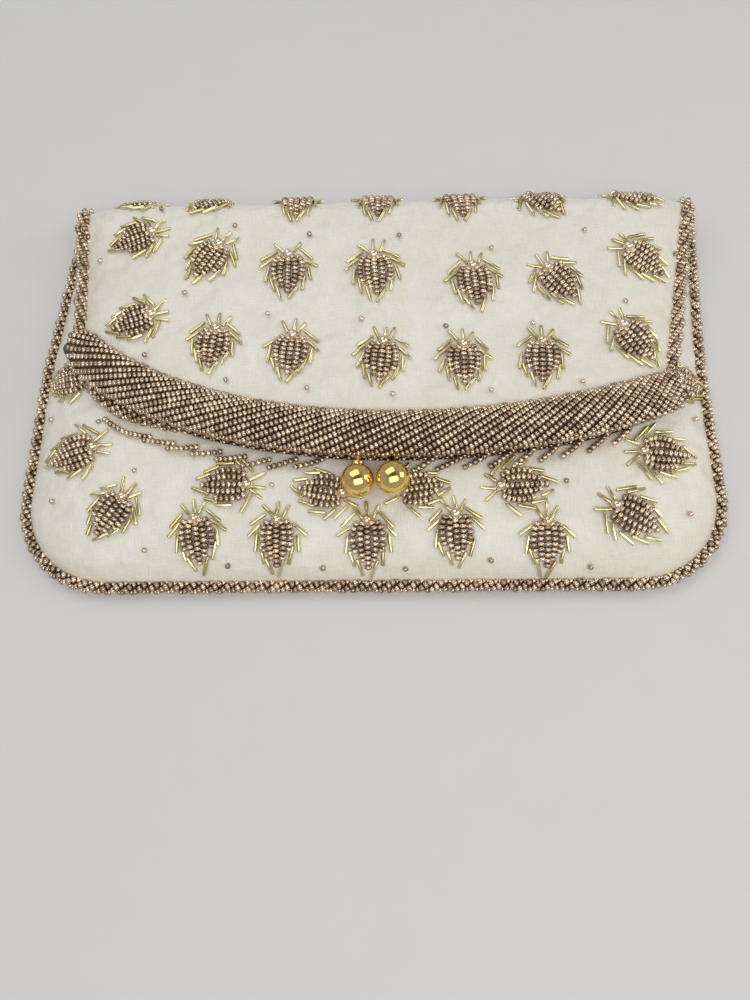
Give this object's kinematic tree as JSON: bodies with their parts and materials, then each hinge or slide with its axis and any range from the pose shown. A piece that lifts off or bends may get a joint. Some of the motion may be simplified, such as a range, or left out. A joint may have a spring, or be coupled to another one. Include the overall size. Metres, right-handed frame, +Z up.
{
  "type": "beaded evening bag",
  "caption": "Flat beaded satin evening clutch with a fold-over flap on a hinged two-arm kiss-lock frame with two clasp balls.",
  "frame": {"origin": "middle of the bag's footprint, on the surface that it lies on", "axes": "+X to the bag's right as it lies with its flap up, +Y towards the fold, +Z up out of the flap"},
  "size_m": [0.232, 0.1468, 0.0256],
  "materials": {
    "ivory_satin": "ivory satin, slightly yellowed, soft sheen",
    "champagne_lining": "plain champagne lining satin",
    "canvas_interlining": "stiff plain-weave canvas",
    "bronze_beads": "metal-coated glass seed beads, bronze, with gilt bugles",
    "gilt_metal": "polished gilt",
    "frame_steel": "plain nickelled steel"
  },
  "bodies": {
    "pouch": {"back_interlining": "canvas_interlining", "back_lining": "champagne_lining", "back_panel": "ivory_satin", "body_edge_trim": "bronze_beads", "clasp_ball_inner": "gilt_metal", "flap_interlining": "canvas_interlining", "flap_lining": "champagne_lining", "flap_panel": "ivory_satin", "flap_trim_left": "bronze_beads", "flap_trim_right": "bronze_beads", "frame_inner_arm": "frame_steel", "front_interlining": "canvas_interlining", "front_lining": "champagne_lining", "front_panel": "ivory_satin", "hinge_rivet_left": "frame_steel", "hinge_rivet_right": "frame_steel", "inner_bead_roll": "bronze_beads", "mouth_picots_left": "bronze_beads", "mouth_picots_right": "bronze_beads", "sprig_band_1": "bronze_beads", "sprig_band_2": "bronze_beads", "sprig_band_3": "bronze_beads", "sprig_band_4": "bronze_beads", "sprig_clasp_1": "bronze_beads", "sprig_clasp_2": "bronze_beads", "sprig_fold_1": "bronze_beads", "sprig_fold_2": "bronze_beads", "sprig_fold_3": "bronze_beads", "sprig_fold_4": "bronze_beads", "sprig_fold_5": "bronze_beads", "sprig_fold_6": "bronze_beads", "sprig_fold_7": "bronze_beads", "sprig_hem_1": "bronze_beads", "sprig_hem_2": "bronze_beads", "sprig_hem_3": "bronze_beads", "sprig_hem_4": "bronze_beads", "sprig_hem_5": "bronze_beads", "sprig_hem_6": "bronze_beads", "sprig_hem_7": "bronze_beads", "sprig_lower_1": "bronze_beads", "sprig_lower_2": "bronze_beads", "sprig_lower_3": "bronze_beads", "sprig_lower_4": "bronze_beads", "sprig_lower_5": "bronze_beads", "sprig_lower_6": "bronze_beads", "sprig_lower_7": "bronze_beads", "sprig_side_1": "bronze_beads", "sprig_side_2": "bronze_beads", "sprig_upper_1": "bronze_beads", "sprig_upper_2": "bronze_beads", "sprig_upper_3": "bronze_beads", "sprig_upper_4": "bronze_beads", "sprig_upper_5": "bronze_beads", "sprig_upper_6": "bronze_beads", "sprig_upper_7": "bronze_beads"},
    "flap_arm": {"frame_outer_arm": "frame_steel", "outer_bead_roll": "bronze_beads", "clasp_ball_outer": "gilt_metal", "flap_lip_panel": "ivory_satin", "flap_lip_lining": "champagne_lining"}
  },
  "joints": [
    {"name": "mouth", "type": "hinge", "parent": "pouch", "child": "flap_arm", "pos_m": [0, -0.00125, 0.0154], "axis": [-0.9955, 0.0949, 0], "range_deg": [0, 90]}
  ]
}
